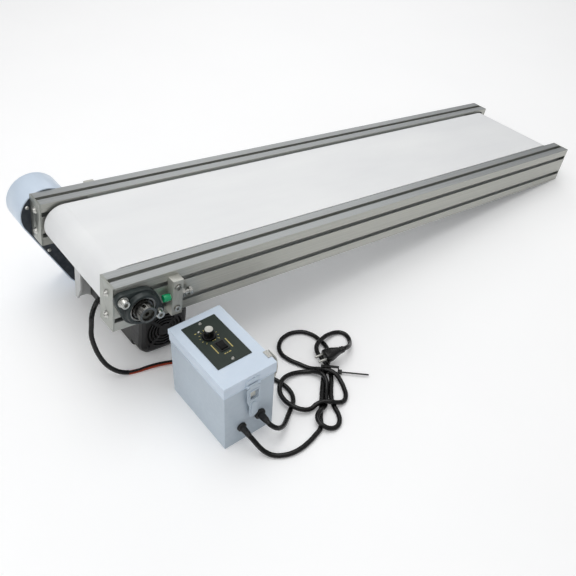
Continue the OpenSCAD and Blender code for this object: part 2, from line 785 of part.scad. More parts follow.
// The chain's centre line: down one side, round the lower sprocket, up and round the upper one
function chain_at(s) =
    s < chain_c ? chain_a + chain_u*s + chain_v*pitch_r
    : s < chain_c + PI*pitch_r ? chain_b + turned(90 - (s - chain_c)*180/(PI*pitch_r))
    : s < 2*chain_c + PI*pitch_r ? chain_b - chain_u*(s - chain_c - PI*pitch_r) - chain_v*pitch_r
    : chain_a + turned(-90 - (s - 2*chain_c - PI*pitch_r)*180/(PI*pitch_r));
function turned(a) = pitch_r*(chain_u*cos(a) + chain_v*sin(a));
function link_at(k) = chain_at((k + 0.5)*(2*chain_c + 2*PI*pitch_r)/chain_n);
function is_free(p) = min(norm(p - chain_a), norm(p - chain_b)) > pitch_r + 8;
// Waisted link plates with round ends of radius r
module link_plates(first, r) {
    for (k = [first:2:chain_n - 1]) {
        a = link_at(k);
        b = link_at((k + 1) % chain_n);
        across = [a[1] - b[1], b[0] - a[0]]*0.7*r/norm(b - a);
        translate(a) circle(r, $fn = 24);
        translate(b) circle(r, $fn = 24);
        polygon([a + across, b + across, b - across, a - across]);
    }
}
module drive_chain() {
    color([0.42, 0.4, 0.36]) on_conveyor() translate([0, sprocket_y, 0]) {
        slab_y(-1.6, 1.2) link_plates(0, 4.1);
        slab_y(sprocket_t + 0.4, 1.2) link_plates(0, 4.1);
        slab_y(-2.9, 1.3) link_plates(1, 3.8);
        slab_y(sprocket_t + 1.6, 1.3) link_plates(1, 3.8);
        for (k = [0:chain_n - 1]) if (is_free(link_at(k)))
            slab_y(-0.4, sprocket_t + 0.8) translate(link_at(k)) circle(2.54, $fn = 24);
    }
}

// ---------- control box ----------
module box_body() {
    b = body_in;
    h = box_h - wall - 0.5;
    color([0.72, 0.77, 0.82]) on_floor() difference() {
        translate([b, b, 0]) cube([box_w - 2*b, box_d - 2*b, h]);
        translate([b + wall, b + wall, wall]) cube([box_w - 2*b - 2*wall, box_d - 2*b - 2*wall, h]);
        translate([gland_power[0], -5, gland_power[1]]) rotate([-90, 0, 0]) cylinder(r = 5, h = 20);
        translate([gland_motor[0], -5, gland_motor[1]]) rotate([-90, 0, 0]) cylinder(r = 5, h = 20);
    }
}
module box_lid() {
    color([0.82, 0.88, 0.94]) on_floor() difference() {
        translate([0, 0, lid_z]) cube([box_w, box_d, skirt_h]);
        translate([wall, wall, lid_z - 1]) cube([box_w - 2*wall, box_d - 2*wall, skirt_h - wall + 1]);
        translate([-1, box_d - wall - 1, lid_z - 1]) cube([box_w + 2, 10, hinge_z - lid_z + 1]);
        translate([panel_c[0] - 27, panel_c[1] - 40, box_h - 5]) cube([54, 80, 10]);
        at_panel_screws() translate([0, 0, -5]) cylinder(d = 3, h = 10);
    }
}
module box_hinge() {
    x0 = (box_w - hinge_w)/2;
    n = 5;
    k = hinge_w/n;
    color([0.7, 0.7, 0.7]) on_floor() {
        translate([x0, box_d - body_in, hinge_z - 24]) cube([hinge_w, 1.4, 21]);
        for (i = [0:2:n - 1]) {
            translate([x0 + i*k + 0.3, hinge_y, hinge_z]) rotate([0, 90, 0]) difference() {
                cylinder(r = 2.6, h = k - 0.6);
                translate([0, 0, -1]) cylinder(r = 1.25, h = k + 2);
            }
            translate([x0 + i*k + 0.3, box_d - body_in, hinge_z - 3.4]) cube([k - 0.6, 5.6, 1.4]);
        }
        translate([x0 - 1, hinge_y, hinge_z]) rotate([0, 90, 0]) cylinder(r = 1.25, h = hinge_w + 2);
    }
}
// Hinge leaf and catch on the lid, the two panel screws and the lamp beside the knob
module lid_fittings() {
    x0 = (box_w - hinge_w)/2;
    k = hinge_w/5;
    color([0.74, 0.75, 0.75]) on_floor() {
        for (i = [1, 3]) {
            translate([x0 + i*k + 0.3, hinge_y, hinge_z]) rotate([0, 90, 0]) difference() {
                cylinder(r = 2.6, h = k - 0.6);
                translate([0, 0, -1]) cylinder(r = 1.25 + fit_gap, h = k + 2);
            }
            translate([x0 + i*k + 0.3, box_d, hinge_z + 1.4]) cube([k - 0.6, 2.6, 1.2]);
        }
        translate([x0, box_d, hinge_z + 2.6]) cube([hinge_w, 1.2, 6.5]);
        // hasp leaf, its two ears, pin and rivet
        translate([hasp_x - 12, -1.2, hasp_z + 2.6]) cube([24, 1.2, 9]);
        for (x = [hasp_x - 12, hasp_x + 8]) translate([x, 0, 0]) {
            translate([0, hasp_y, hasp_z]) rotate([0, 90, 0]) cylinder(r = 2, h = 4);
            translate([0, hasp_y, hasp_z + 0.4]) cube([4, 2.6, 1.4]);
            translate([0, -1.2, hasp_z + 0.4]) cube([4, 1.2, 3]);
        }
        translate([hasp_x - 12, hasp_y, hasp_z]) rotate([0, 90, 0]) cylinder(r = 1, h = 24);
        translate([hasp_x + 4, 0, box_h - 4.5]) rotate([90, 0, 0]) cylinder(d1 = 4, d2 = 2.4, h = 2);
        // keeper for the side latch, over the edge of the lid
        translate([box_w, side_y - 7, lid_z + 1]) cube([1.6, 14, skirt_h]);
        translate([box_w - 6, side_y - 7, box_h]) cube([7.6, 14, 1.2]);
        translate([box_w + 1.6, side_y - 7, box_h - 7]) cube([2.6, 14, 2]);
        // panel screws and lamp
        at_panel_screws() translate([0, 0, panel_t]) button_screw(3, 3, 6);
        translate([lamp_at[0], lamp_at[1], box_h + panel_t]) intersection() {
            sphere(2.4, $fn = 24);
            cylinder(r = 5, h = 5);
        }
    }
}

// ---------- control panel ----------
module at_panel_screws() {
    for (y = [-1, 1]) translate([panel_c[0], panel_c[1] + y*(panel_size[1]/2 - 6), box_h]) children();
}
module face_plate() {
    color([0.2, 0.27, 0.24]) on_floor() difference() {
        translate([panel_c[0] - panel_size[0]/2, panel_c[1] - panel_size[1]/2, box_h])
            cube([panel_size[0], panel_size[1], panel_t]);
        translate([knob_at[0], knob_at[1], box_h - 1]) cylinder(r = collar_r, h = 5);
        translate([rocker_at[0] - 6.8, rocker_at[1] - 9.6, box_h - 1]) cube([13.6, 19.2, 5]);
        at_panel_screws() translate([0, 0, -1]) cylinder(d = 3, h = 5);
    }
}
// The module that hangs behind the face plate, with its potentiometer and switch body
module speed_controller() {
    w = 53;
    d = 79;
    color([0.12, 0.12, 0.12]) on_floor() {
        difference() {
            translate([panel_c[0] - w/2, panel_c[1] - d/2, box_h - 40]) cube([w, d, 40]);
            translate([panel_c[0] - w/2 + 2, panel_c[1] - d/2 + 2, box_h - 38]) cube([w - 4, d - 4, 50]);
        }
        translate([knob_at[0], knob_at[1], box_h - 9]) difference() {
            cylinder(r = 8.5, h = 9);
            translate([0, 0, -1]) cylinder(r = 3 + fit_gap, h = 12);
        }
        translate([knob_at[0], knob_at[1], box_h]) ring(collar_r, 3 + fit_gap, 2);
        translate([rocker_at[0], rocker_at[1], 0]) difference() {
            union() {
                translate([-6.8, -9.6, box_h - 16]) cube([13.6, 19.2, 18]);
                translate([-switch_size[0]/2, -switch_size[1]/2, box_h + panel_t])
                    cube([switch_size[0], switch_size[1], 1.6]);
            }
            translate([-6.2, -9.1, box_h - 9]) cube([12.4, 18.2, 20]);
        }
        translate([panel_c[0] - w/2 + 2, panel_c[1] - d/2 + 2, box_h - 34]) cube([w - 4, d - 4, 1.6]);
    }
}
module speed_knob() {
    z = box_h + 2.6;
    color([0.09, 0.09, 0.09]) on_floor() translate([knob_at[0], knob_at[1], 0]) {
        translate([0, 0, box_h - 12]) cylinder(r = 3, h = 18);
        translate([0, 0, z]) cylinder(d1 = 22, d2 = 20, h = 3);
        translate([0, 0, z + 2]) difference() {
            cylinder(d1 = 16, d2 = 14, h = 12);
            for (a = [0:30:330]) rotate(a) translate([8.6, 0, -1]) cylinder(r = 1.2, h = 20);
        }
        translate([0, 0, z + 14]) cylinder(r = 5.6, h = 0.8);
    }
}
module rocker_switch() {
    color([0.06, 0.06, 0.06]) on_floor() translate([rocker_at[0] - 5.9, rocker_at[1], box_h + 0.6])
        rotate([90, 0, 90]) linear_extrude(11.8) intersection() {
            circle(r = 8.7);
            polygon([[-9, -3], [9, -3], [9, 4.6], [0, 3.2], [-9, 4.6]]);
        }
}

// ---------- latches ----------
module hasp_plate(t) {
    translate([hasp_x, hasp_y - 1.1, hasp_z]) rotate([90, 0, 0]) linear_extrude(t) children();
}
module hasp() {
    color([0.78, 0.83, 0.88]) on_floor() {
        translate([hasp_x - 7.6, hasp_y, hasp_z]) rotate([0, 90, 0]) difference() {
            cylinder(r = 2, h = 15.2);
            translate([0, 0, -1]) cylinder(r = 1 + fit_gap, h = 20);
        }
        hasp_plate(1.3) difference() {
            union() {
                translate([-7.6, -6]) square([15.2, 6]);
                hull() {
                    for (x = [-7.5, 7.5], z = [-6.5, -31]) translate([x, z]) circle(4.5);
                    translate([0, -40]) circle(8.5);
                }
                obround([0, -40], [0, -60.5], 8);
            }
            translate([-7.5, -28]) square([15, 18]);
        }
        // raised rims of the pressing
        hasp_plate(2.4) difference() {
            translate([-9, -30]) square([18, 22]);
            translate([-7.5, -28]) square([15, 18]);
        }
        hasp_plate(2.2) obround([0, -40], [0, -60], 5);
    }
}
module latch_bases() {
    color([0.76, 0.77, 0.77]) on_floor() {
        // staple behind the hasp's window
        translate([hasp_x - 4.5, body_in - 4, hasp_z - 26]) cube([9, 4, 10]);
        // base and pin of the side latch
        translate([box_w - body_in, side_y - 11, side_pin[1] - 10]) cube([2, 22, 27]);
        for (y = [side_y - 11, side_y + 9]) translate([0, y, 0]) {
            translate([box_w - body_in, 0, side_pin[1] - 3]) cube([side_pin[0] - box_w + body_in, 2, 6]);
            translate([side_pin[0], 2, side_pin[1]]) rotate([90, 0, 0]) cylinder(r = 3, h = 2);
        }
        translate([side_pin[0], side_y + 11, side_pin[1]]) rotate([90, 0, 0]) cylinder(r = 1.2, h = 22);
    }
}
module side_latch() {
    color([0.7, 0.7, 0.68]) on_floor() {
        translate([0, side_y + 8.6, 0]) rotate([90, 0, 0]) linear_extrude(17.2) difference() {
            union() {
                translate(side_pin) circle(r = 2.6);
                polygon([[side_pin[0] - 1, 96], [101, 95.5], [105, 99], [106, 112], [104.4, 126],
                    [100.6, 138], [99.2, 137.4], [102.8, 125.6], [104.4, 112], [103.4, 100.4],
                    [100.6, 97], [99.4, 100.4]]);
            }
            translate(side_pin) circle(r = 1.2 + fit_gap);
        }
    }
}

// ---------- inside the control box ----------
module box_electrics() {
    color([0.3, 0.45, 0.6]) on_floor() {
        z = wall;
        translate([30, 60, z + 17]) rotate([-90, 0, 0]) cylinder(r = 17, h = 62);
        translate([58, 40, z]) difference() {
            cube([20, 70, 16]);
            for (k = [0:5]) translate([10, 8 + k*11, 8]) cylinder(r = 3.5, h = 20);
        }
    }
}

// ---------- cords ----------
module gland_body(r, l) {
    rotate([90, 0, 0]) {
        translate([0, 0, -5]) cylinder(r = 5, h = 6);
        translate([0, 0, -wall - 4]) cylinder(r = 8, h = 4, $fn = 6);
        cylinder(r = 8, h = 3);
        translate([0, 0, 3]) cylinder(r1 = 7, r2 = r, h = l - 3);
    }
}
module cord_glands() {
    color([0.07, 0.07, 0.07]) on_floor() {
        translate([gland_power[0], body_in, gland_power[1]]) gland_body(power_d/2 + 1, gland_l);
        translate([gland_motor[0], body_in, gland_motor[1]]) gland_body(motor_cable_d/2 + 1, gland_l);
    }
}
function unit(v) = v/norm(v);
function tangents(p) = [for (i = [0:len(p) - 1]) unit(p[min(i + 1, len(p) - 1)] - p[max(i - 1, 0)])];
// A direction square to the path, carried along it without twisting
function carried(t, i) = i == 0 ? unit(cross(t[0], [0.1, 0.2, 1])) :
    let (before = carried(t, i - 1)) unit(before - t[i]*(before*t[i]));
module tube(p, r, sides) {
    t = tangents(p);
    n = len(p);
    side = [for (i = [0:n - 1]) carried(t, i)];
    points = [for (i = [0:n - 1], k = [0:sides - 1])
        p[i] + r*(side[i]*cos(k*360/sides) + cross(t[i], side[i])*sin(k*360/sides))];
    walls = [for (i = [0:n - 2], k = [0:sides - 1])
        [i*sides + k, (i + 1)*sides + k, (i + 1)*sides + (k + 1) % sides, i*sides + (k + 1) % sides]];
    caps = [[for (k = [0:sides - 1]) k], [for (k = [sides - 1:-1:0]) (n - 1)*sides + k]];
    polyhedron(points, concat(walls, caps));
}
module motor_cable() {
    color([0.08, 0.08, 0.08]) on_floor() tube(motor_route, motor_cable_d/2, 8);
}
module power_cord_tube() {
    color([0.06, 0.06, 0.06]) on_floor() tube(power_route, power_d/2, 10);
}
module loop_ring(c, r) {
    translate(c) difference() {
        circle(r + 5);
        circle(r - 5);
    }
}
// The tie's own frame: x along the hank, y across it, towards the tie's tail
module at_tie() {
    on_floor() translate([hank_a[0], hank_a[1], 0])
        rotate(atan2(hank_b[1] - hank_a[1], hank_b[0] - hank_a[0])) translate([tie_at, 0, 0]) children();
}
module power_cord_hank() {
    color([0.06, 0.06, 0.06]) difference() {
        on_floor() {
            linear_extrude(hank_h) {
                obround(hank_a, hank_b, hank_r);
                loop_ring([232, 94], 43);
                loop_ring([288, 60], 32);
            }
            translate([0, 0, hank_h/2]) linear_extrude(hank_h/2) loop_ring([172, 16], 43);
        }
        at_tie() translate([-2.5, -20, -1]) cube([5, 40, 1 + tie_t]);
    }
}
module cable_tie() {
    color([0.05, 0.05, 0.05]) at_tie() {
        difference() {
            translate([-2.5, -hank_r - tie_t, 0]) cube([5, 2*hank_r + 2*tie_t, hank_h + tie_t]);
            translate([-5, -hank_r, tie_t]) cube([10, 2*hank_r, hank_h - tie_t]);
        }
        translate([-3.5, hank_r + tie_t, 3]) cube([7, 6, 5]);
        translate([-1.5, hank_r + tie_t + 6, 4.5]) cube([3, 46, 1.2]);
    }
}
module power_plug() {
    color([0.06, 0.06, 0.06]) on_floor() translate([plug_at[0], plug_at[1], hank_h]) rotate(-8) {
        linear_extrude(18) {
            translate([-14, -12]) square([28, 24]);
            translate([14, 0]) circle(r = 12);
        }
        for (y = [-6, 6]) translate([-14, y, 9]) rotate([0, -90, 0]) cylinder(r = 2.2, h = 16);
    }
}

rail_near();
rail_far();
end_plates();
end_plate_screws();
cross_members();
slider_bed();
frame_screws();
slot_nuts();
belt();
drive_roller();
drive_shaft();
bearing_housings();
bearing_rings_and_balls();
bearing_inner_rings();
bearing_bolts();
tension_blocks();
tension_bolts();
tension_caps();
tail_roller();
tail_axle();
tail_axle_holders();
tail_rings_and_balls();
tail_inner_rings();
motor_bracket();
gearhead_case();
gearhead_cover();
output_shaft();
output_gear();
idler_gear();
motor_housing();
motor_end_shield();
stator();
rotor();
cooling_fan();
fan_cover();
guard_back_plate();
guard_cover();
guard_screws();
output_bush();
roller_sprocket();
motor_sprocket();
drive_chain();
box_body();
box_lid();
box_hinge();
lid_fittings();
face_plate();
speed_controller();
speed_knob();
rocker_switch();
hasp();
side_latch();
latch_bases();
cord_glands();
box_electrics();
motor_cable();
power_cord_tube();
power_cord_hank();
cable_tie();
power_plug();
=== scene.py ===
"""The looks of the belt conveyor section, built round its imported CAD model."""

import json
import math

import bpy
from mathutils import Matrix, Vector


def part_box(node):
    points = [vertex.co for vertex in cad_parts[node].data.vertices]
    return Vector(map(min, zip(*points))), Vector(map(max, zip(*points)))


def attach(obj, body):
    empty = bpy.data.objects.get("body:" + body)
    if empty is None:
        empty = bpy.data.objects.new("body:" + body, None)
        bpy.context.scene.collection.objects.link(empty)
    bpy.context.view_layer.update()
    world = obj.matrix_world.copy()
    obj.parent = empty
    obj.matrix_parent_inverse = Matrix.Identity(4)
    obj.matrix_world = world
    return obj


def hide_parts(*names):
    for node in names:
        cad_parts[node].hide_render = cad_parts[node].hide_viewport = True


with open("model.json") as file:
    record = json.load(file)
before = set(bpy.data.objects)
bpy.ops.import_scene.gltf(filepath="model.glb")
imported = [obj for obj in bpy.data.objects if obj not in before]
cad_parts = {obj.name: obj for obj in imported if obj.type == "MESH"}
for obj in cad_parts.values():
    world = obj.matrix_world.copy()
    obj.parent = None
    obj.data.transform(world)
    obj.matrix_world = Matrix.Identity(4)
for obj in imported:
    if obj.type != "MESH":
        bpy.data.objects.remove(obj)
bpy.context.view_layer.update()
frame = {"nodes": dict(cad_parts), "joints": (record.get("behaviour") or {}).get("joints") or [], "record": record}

MM = 0.001
JOINTS = {joint["name"]: joint for joint in frame["joints"]}
SLOT_OF = {part["node"]: part["material_slot"] for part in frame["record"]["subparts"]}

# ---------- the section's pitch, and the control box's own millimetres as a matrix ----------
drive_axis = Vector(JOINTS["drive_roller_spin"]["pos_m"])
tail_axis = Vector(JOINTS["tail_roller_spin"]["pos_m"])
PITCH = math.asin(-(tail_axis - drive_axis).normalized().z)
lid_low, lid_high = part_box("box_lid")
BOX = Matrix.Translation((lid_low.x, lid_low.y, 0)) @ Matrix.Scale(MM, 4)
BOX_TOP = lid_high.z/MM
# Places on the control panel, as x and y from the box's corner
KNOB_AT = (41, 99)
ROCKER_AT = (46, 72)
LAMP_AT = (33, 115)
PANEL_TOP = BOX_TOP + 1.5
KNOB_FOOT = BOX_TOP + 2.6


def look_matrix(place, target, roll):
    """A camera's matrix at place, looking at target, turned by roll about its own line of sight."""
    turn = (target - place).to_track_quat("-Z", "Y").to_matrix().to_4x4()
    return Matrix.Translation(place) @ turn @ Matrix.Rotation(roll, 4, "Z")


# ---------- camera ----------
def make_camera():
    data = bpy.data.cameras.new("camera")
    data.lens = 42.72
    data.sensor_width = 36
    data.clip_start = 0.05
    camera = bpy.data.objects.new("camera", data)
    bpy.context.scene.collection.objects.link(camera)
    camera.matrix_world = look_matrix(Vector((-0.8669, -0.7798, 0.8777)), Vector((-0.2811, -0.1069, 0.1)),
                                      math.radians(4.0))
    bpy.context.scene.camera = camera


# ---------- materials ----------
class Nodes:
    """A material under construction: its nodes, and short ways to add and join them."""

    def __init__(self, name):
        self.material = bpy.data.materials.new(name)
        self.material.use_nodes = True
        self.tree = self.material.node_tree
        self.shader = self.tree.nodes["Principled BSDF"]
        self.place = self.add("ShaderNodeTexCoord").outputs["Object"]

    def add(self, kind, **values):
        node = self.tree.nodes.new(kind)
        for name, value in values.items():
            setattr(node, name, value)
        return node

    def join(self, source, target):
        self.tree.links.new(source, target)

    def mapped(self, stretch=(1, 1, 1), turn=0.0):
        mapping = self.add("ShaderNodeMapping", vector_type="TEXTURE")
        mapping.inputs["Rotation"].default_value = (0, turn, 0)
        mapping.inputs["Scale"].default_value = stretch
        self.join(self.place, mapping.inputs["Vector"])
        return mapping.outputs["Vector"]

    def noise(self, size_mm, detail=4.0, rough=0.55, stretch=(1, 1, 1), turn=0.0):
        noise = self.add("ShaderNodeTexNoise")
        noise.inputs["Scale"].default_value = 1/(size_mm*MM)
        noise.inputs["Detail"].default_value = detail
        noise.inputs["Roughness"].default_value = rough
        self.join(self.mapped(stretch, turn), noise.inputs["Vector"])
        return noise.outputs["Fac"]

    def ramp(self, source, low, high, start, end):
        """A grey or colour ramp from low to high while source goes from start to end."""
        ramp = self.add("ShaderNodeValToRGB")
        ramp.color_ramp.elements[0].position = start
        ramp.color_ramp.elements[1].position = end
        ramp.color_ramp.elements[0].color = colour(low)
        ramp.color_ramp.elements[1].color = colour(high)
        self.join(source, ramp.inputs["Fac"])
        return ramp.outputs["Color"]

    def ranged(self, source, start, end, low=0.0, high=1.0):
        """A number that goes from low to high while source goes from start to end."""
        out = self.add("ShaderNodeMapRange")
        for name, value in (("From Min", start), ("From Max", end), ("To Min", low), ("To Max", high)):
            out.inputs[name].default_value = value
        self.join(source, out.inputs["Value"])
        return out.outputs["Result"]

    def spread(self, source, low, high):
        """A noise's usual range, 0.3 to 0.7, mapped to a number from low to high."""
        return self.ranged(source, 0.3, 0.7, low, high)

    def mix(self, share, first, second):
        mix = self.add("ShaderNodeMix", data_type="RGBA")
        self.join(share, mix.inputs[0])
        for source, socket in ((first, mix.inputs[6]), (second, mix.inputs[7])):
            if isinstance(source, tuple):
                socket.default_value = colour(source)
            else:
                self.join(source, socket)
        return mix.outputs[2]

    def edge_wear_and_highlight(self, strength):
        """Up to strength along sharp convex edges and 0 on flat stretches, broken up by noise."""
        point = self.add("ShaderNodeNewGeometry").outputs["Pointiness"]
        times = self.add("ShaderNodeMath", operation="MULTIPLY")
        self.join(self.ranged(point, 0.52, 0.62, 0.0, strength), times.inputs[0])
        self.join(self.spread(self.noise(7), 0, 1), times.inputs[1])
        return times.outputs["Value"]

    def painted_side_light_mask(self):
        """1 on faces that look along y, 0 on the others: the mask for painted side light."""
        split = self.add("ShaderNodeSeparateXYZ")
        self.join(self.add("ShaderNodeTexCoord").outputs["Normal"], split.inputs["Vector"])
        size = self.add("ShaderNodeMath", operation="ABSOLUTE")
        self.join(split.outputs["Y"], size.inputs[0])
        return self.ranged(size.outputs["Value"], 0.5, 0.95)

    def bump(self, source, height_mm, strength, under=None):
        bump = self.add("ShaderNodeBump")
        bump.inputs["Strength"].default_value = strength
        bump.inputs["Distance"].default_value = height_mm*MM
        self.join(source, bump.inputs["Height"])
        if under is not None:
            self.join(under, bump.inputs["Normal"])
        self.join(bump.outputs["Normal"], self.shader.inputs["Normal"])
        return bump.outputs["Normal"]

    def base(self, source):
        self.join(source, self.shader.inputs["Base Color"])

    def rough(self, source):
        self.join(source, self.shader.inputs["Roughness"])

    def fixed(self, **values):
        for name, value in values.items():
            self.shader.inputs[name.replace("_", " ")].default_value = value
        return self.material


def colour(value):
    """A colour given as three sRGB numbers, or as one for grey, as the linear colour that the nodes use."""
    if isinstance(value, (int, float)):
        value = (value,)*3
    return (*[c/12.92 if c <= 0.04045 else ((c + 0.055)/1.055)**2.4 for c in value], 1)


def darker(value, share):
    return tuple(c*share for c in value)


def extruded_aluminium():
    """Anodised profile: die lines along it, faint cloudiness and handling marks, and painted light: faces that
    look along y get a lighter, warmer colour than the top.
    """
    n = Nodes("anodised_rail")
    lines = n.noise(1.6, 3, 0.6, (300, 1, 1), PITCH)
    cloud = n.noise(60, 3, 0.5, (4, 1, 1), PITCH)
    mixed = n.mix(n.spread(lines, 0.1, 0.9), (0.60, 0.615, 0.615), (0.74, 0.75, 0.75))
    upper = n.mix(n.spread(cloud, 0.0, 0.5), mixed, (0.64, 0.65, 0.65))
    # painted light: the side faces' lighter, warmer colour stands in for how the light falls on them, not a
    # different finish
    side = n.mix(n.spread(lines, 0.0, 1.0), (0.665, 0.67, 0.645), (0.745, 0.745, 0.72))
    n.base(n.mix(n.painted_side_light_mask(), upper, side))
    n.rough(n.spread(lines, 0.36, 0.52))
    n.bump(lines, 0.03, 0.5)
    return n.fixed(Metallic=0.75)


def bare_metal(name, tone, rough, streak=(1, 1, 1), metallic=1.0, marks=0.35):
    """Machined or plated metal with fine tooling lines and a few darker marks."""
    n = Nodes(name)
    lines = n.noise(1.2, 3, 0.65, streak, PITCH)
    blots = n.noise(14, 4, 0.6)
    mixed = n.mix(n.spread(lines, 0.1, 0.9), darker(tone, 0.88), tone)
    n.base(n.mix(n.ramp(blots, 0.0, marks, 0.52, 0.75), mixed, darker(tone, 0.7)))
    n.rough(n.spread(lines, rough*0.8, rough*1.25))
    n.bump(lines, 0.02, 0.4)
    return n.fixed(Metallic=metallic)


def painted(name, tone, rough=0.42, peel=0.06, wear=0.35, bare=(0.62, 0.63, 0.64)):
    """Powder coat: orange peel, slight colour drift, and paint worn thin on the edges; where bare is a near white,
    as on the blue-grey paints, those edges are partly a painted highlight.
    """
    n = Nodes(name)
    drift = n.noise(45, 3, 0.5)
    mixed = n.mix(n.spread(drift, 0.2, 0.8), darker(tone, 0.965), tone)
    n.base(n.mix(n.edge_wear_and_highlight(wear), mixed, bare))
    n.rough(n.spread(n.noise(9, 4), rough*0.85, rough*1.15))
    n.bump(n.noise(1.3, 2, 0.4), peel, 0.35)
    return n.fixed(Metallic=0.0)


def cast_iron(name, tone):
    """A painted sand casting: pebbled skin under thick paint."""
    n = Nodes(name)
    skin = n.noise(1.8, 5, 0.7)
    mixed = n.mix(n.spread(n.noise(12), 0.0, 1.0), darker(tone, 0.75), tone)
    n.base(n.mix(n.edge_wear_and_highlight(0.6), mixed, (0.36, 0.39, 0.38)))
    n.rough(n.spread(skin, 0.3, 0.5))
    n.bump(skin, 0.18, 0.45)
    return n.fixed(Metallic=0.0)


def plastic(name, tone, rough, grain_mm=0.8, grain=0.03, shine=0.5):
    """Moulded plastic: a fine spark grain and a little dust in its shine."""
    n = Nodes(name)
    drift = n.noise(25, 3)
    n.base(n.mix(n.spread(drift, 0.1, 0.9), darker(tone, 0.85), tone))
    n.rough(n.spread(n.noise(6, 4), rough*0.85, rough*1.2))
    n.bump(n.noise(grain_mm, 2, 0.5), grain, 0.4)
    return n.fixed(Metallic=0.0, Specular_IOR_Level=shine)


def belt_cover():
    """White PVC cover: fine fabric print under it and long faint scuffs."""
    n = Nodes("white_belt")
    weave = n.add("ShaderNodeTexWave", wave_type="BANDS", bands_direction="X")
    weave.inputs["Scale"].default_value = 1/(2.4*MM)/math.tau*2
    weave.inputs["Distortion"].default_value = 0.6
    n.join(n.mapped(turn=PITCH), weave.inputs["Vector"])
    scuffs = n.noise(5, 4, 0.6, (60, 1, 1), PITCH)
    cloud = n.noise(90, 3, 0.5, (3, 1, 1), PITCH)
    clean = n.mix(n.spread(cloud, 0.0, 1.0), (0.905, 0.91, 0.915), (0.935, 0.94, 0.94))
    n.base(n.mix(n.ramp(scuffs, 0.0, 0.35, 0.6, 0.8), clean, (0.86, 0.865, 0.865)))
    n.rough(n.spread(scuffs, 0.42, 0.6))
    skin = n.bump(n.noise(0.9, 3, 0.6), 0.05, 0.35)
    n.bump(weave.outputs["Fac"], 0.04, 0.25, skin)
    return n.fixed(Metallic=0.0)


def fittings_finish():
    """The lid's fittings: painted with the box at its front, and bare plated steel elsewhere."""
    n = Nodes("lid_fittings")
    where = n.add("ShaderNodeSeparateXYZ")
    n.join(n.place, where.inputs["Vector"])
    bare = n.ranged(where.outputs["Y"], lid_low.y + 4*MM, lid_low.y + 4.5*MM)
    lines = n.noise(1.2, 3, 0.65)
    steel = n.mix(n.spread(lines, 0.1, 0.9), (0.68, 0.68, 0.66), (0.8, 0.8, 0.78))
    paint = n.mix(n.spread(n.noise(45), 0.2, 0.8), (0.76, 0.815, 0.865), (0.79, 0.845, 0.895))
    n.base(n.mix(bare, paint, steel))
    n.rough(n.spread(lines, 0.26, 0.38))
    n.join(bare, n.shader.inputs["Metallic"])
    n.bump(n.noise(1.3, 2, 0.4), 0.04, 0.35)
    return n.material


def windings():
    """Lacquered copper wire wound side by side."""
    n = Nodes("copper_winding")
    wave = n.add("ShaderNodeTexWave", wave_type="BANDS", bands_direction="Y")
    wave.inputs["Scale"].default_value = 1/(1.2*MM)/math.tau*2
    n.join(n.place, wave.inputs["Vector"])
    n.base(n.ramp(wave.outputs["Fac"], (0.32, 0.16, 0.08), (0.66, 0.38, 0.2), 0.1, 0.8))
    n.rough(n.spread(n.noise(5), 0.25, 0.4))
    n.bump(wave.outputs["Fac"], 0.3, 0.6)
    return n.fixed(Metallic=0.9)


def printed_panel():
    """The control panel's dark green print over a fine brushed sheet."""
    n = Nodes("panel_green")
    lines = n.noise(1.0, 2, 0.5, (1, 40, 1))
    n.base(n.mix(n.spread(n.noise(30), 0.2, 0.8), (0.135, 0.172, 0.15), (0.16, 0.2, 0.175)))
    n.rough(n.spread(lines, 0.45, 0.6))
    n.bump(lines, 0.01, 0.3)
    return n.fixed(Metallic=0.0, Specular_IOR_Level=0.3)


def cord_jacket(name="cord_jacket", tone=(0.018, 0.019, 0.021), rough=0.26):
    """Smooth PVC jacket with faint extrusion ripple and dust."""
    n = Nodes(name)
    n.base(n.mix(n.spread(n.noise(20, 4), 0.0, 1.0), darker(tone, 0.8), tone))
    n.rough(n.spread(n.noise(5, 4), rough*0.8, rough*1.3))
    n.bump(n.noise(2.2, 3, 0.5), 0.04, 0.4)
    return n.fixed(Metallic=0.0, Specular_IOR_Level=0.35)


